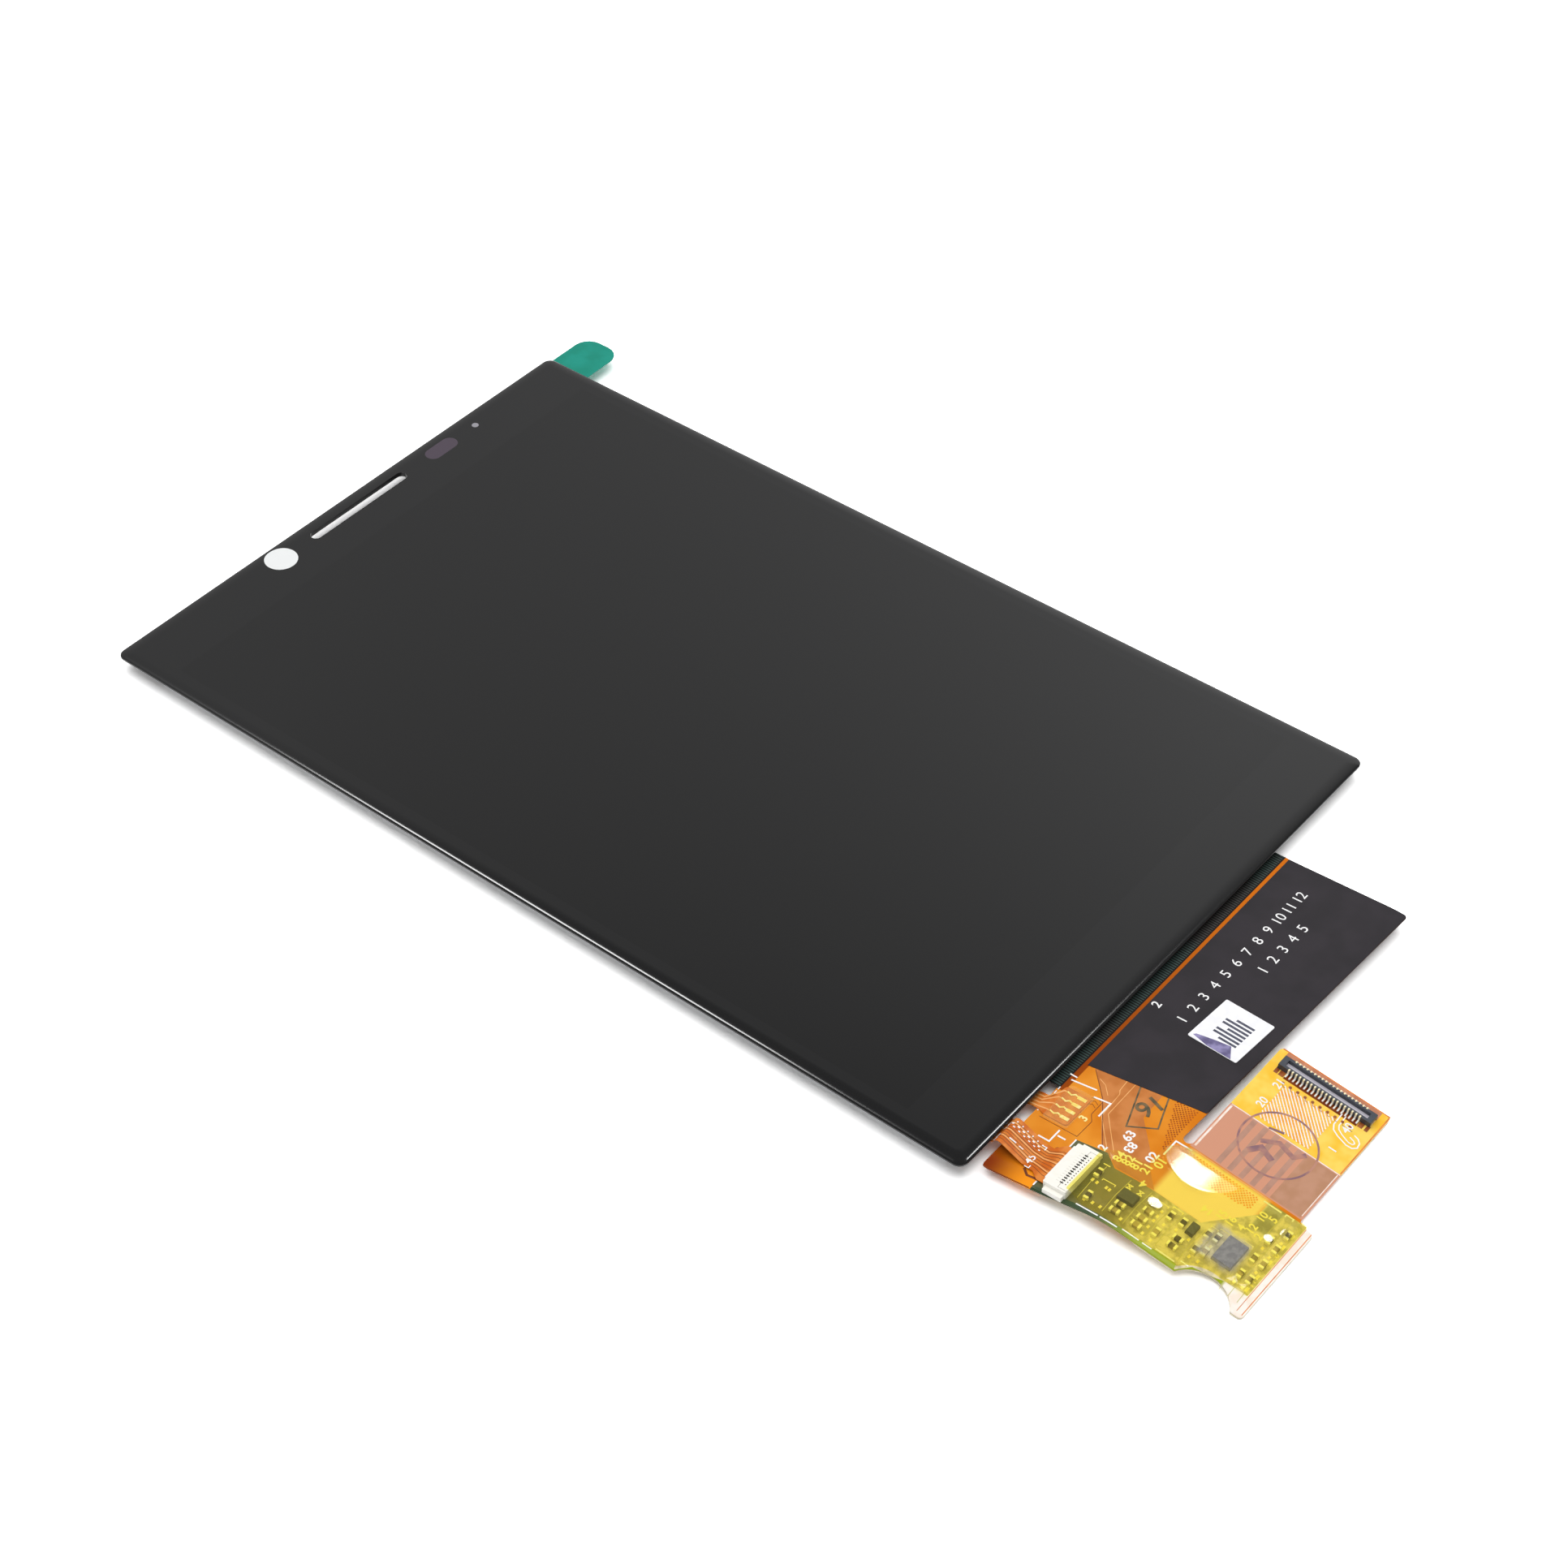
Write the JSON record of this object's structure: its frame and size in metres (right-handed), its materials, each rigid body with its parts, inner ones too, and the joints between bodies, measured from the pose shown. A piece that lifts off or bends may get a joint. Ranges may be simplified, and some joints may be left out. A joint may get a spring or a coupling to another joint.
{
  "type": "phone lcd screen assembly",
  "caption": "Replacement phone screen: black cover glass with touch sensor and LCD backlight unit, and a bent flexible circuit with a board connector at its end.",
  "frame": {"origin": "centre of the cover glass outline, on the flat underside of the back plate", "axes": "+Z out of the screen, +Y along the glass towards the earpiece, +X across it; the main flex leaves the short edge at -Y"},
  "size_m": [0.0743, 0.1374, 0.0026],
  "materials": {
    "cover_glass": "polished, black behind",
    "black_ink": "printed ink, matt",
    "ir_ink": "printed ink, dark violet",
    "clear_adhesive": "clear",
    "touch_film": "clear film with fine conductors",
    "polarizer_film": "dark film",
    "cell_glass": "thin display glass",
    "driver_silicon": "bare silicon",
    "black_tape": "matt tape",
    "optical_film": "milky film",
    "light_guide": "clear moulding",
    "reflector_film": "bright film",
    "white_plastic": "moulded, matt",
    "back_plate_steel": "rolled sheet",
    "flex_polyimide": "film over copper, satin",
    "tail_polyimide": "film over copper, satin",
    "black_shield_film": "film, satin",
    "stiffener": "laminate",
    "black_plastic": "moulded",
    "ivory_plastic": "moulded",
    "chip_ceramic": "with tinned ends",
    "chip_package": "moulded",
    "polyimide_tape": "clear yellow tape",
    "label_paper": "paper label",
    "green_tab": "tinted film"
  },
  "bodies": {
    "root": {"cover_glass": "cover_glass", "ink_border": "black_ink", "sensor_window_ink": "ir_ink", "upper_adhesive": "clear_adhesive", "touch_sensor": "touch_film", "lower_adhesive": "clear_adhesive", "front_polarizer": "polarizer_film", "color_filter_glass": "cell_glass", "array_glass": "cell_glass", "rear_polarizer": "polarizer_film", "driver_chip": "driver_silicon", "rim_tape": "black_tape", "upper_prism_film": "optical_film", "lower_prism_film": "optical_film", "diffuser_film": "optical_film", "light_guide": "light_guide", "reflector_film": "reflector_film", "backlight_frame": "white_plastic", "back_plate": "back_plate_steel", "led_strip": "tail_polyimide", "main_flex": "flex_polyimide", "shield_film": "black_shield_film", "zif_stiffener": "stiffener", "board_stiffener": "stiffener", "plug_stiffener": "stiffener", "code_label": "label_paper", "board_connector": "black_plastic", "zif_housing": "ivory_plastic", "zif_lock": "ivory_plastic", "touch_tail": "tail_polyimide", "memory_chip": "chip_package", "diode_array": "chip_package", "load_switch": "chip_package", "component_tape": "polyimide_tape", "pad_tape": "polyimide_tape", "pull_tab": "green_tab", "chip_1": "chip_ceramic", "chip_2": "chip_ceramic", "chip_3": "chip_ceramic", "chip_4": "chip_ceramic", "chip_5": "chip_ceramic", "chip_6": "chip_ceramic", "chip_7": "chip_ceramic", "chip_8": "chip_ceramic", "chip_9": "chip_ceramic", "chip_10": "chip_ceramic", "chip_11": "chip_ceramic", "chip_12": "chip_ceramic", "chip_13": "chip_ceramic", "chip_14": "chip_ceramic", "chip_15": "chip_ceramic", "chip_16": "chip_ceramic", "chip_17": "chip_ceramic", "chip_18": "chip_ceramic", "chip_19": "chip_ceramic", "chip_20": "chip_ceramic", "chip_21": "chip_ceramic", "chip_22": "chip_ceramic", "chip_23": "chip_ceramic", "chip_24": "chip_ceramic"}
  },
  "joints": []
}
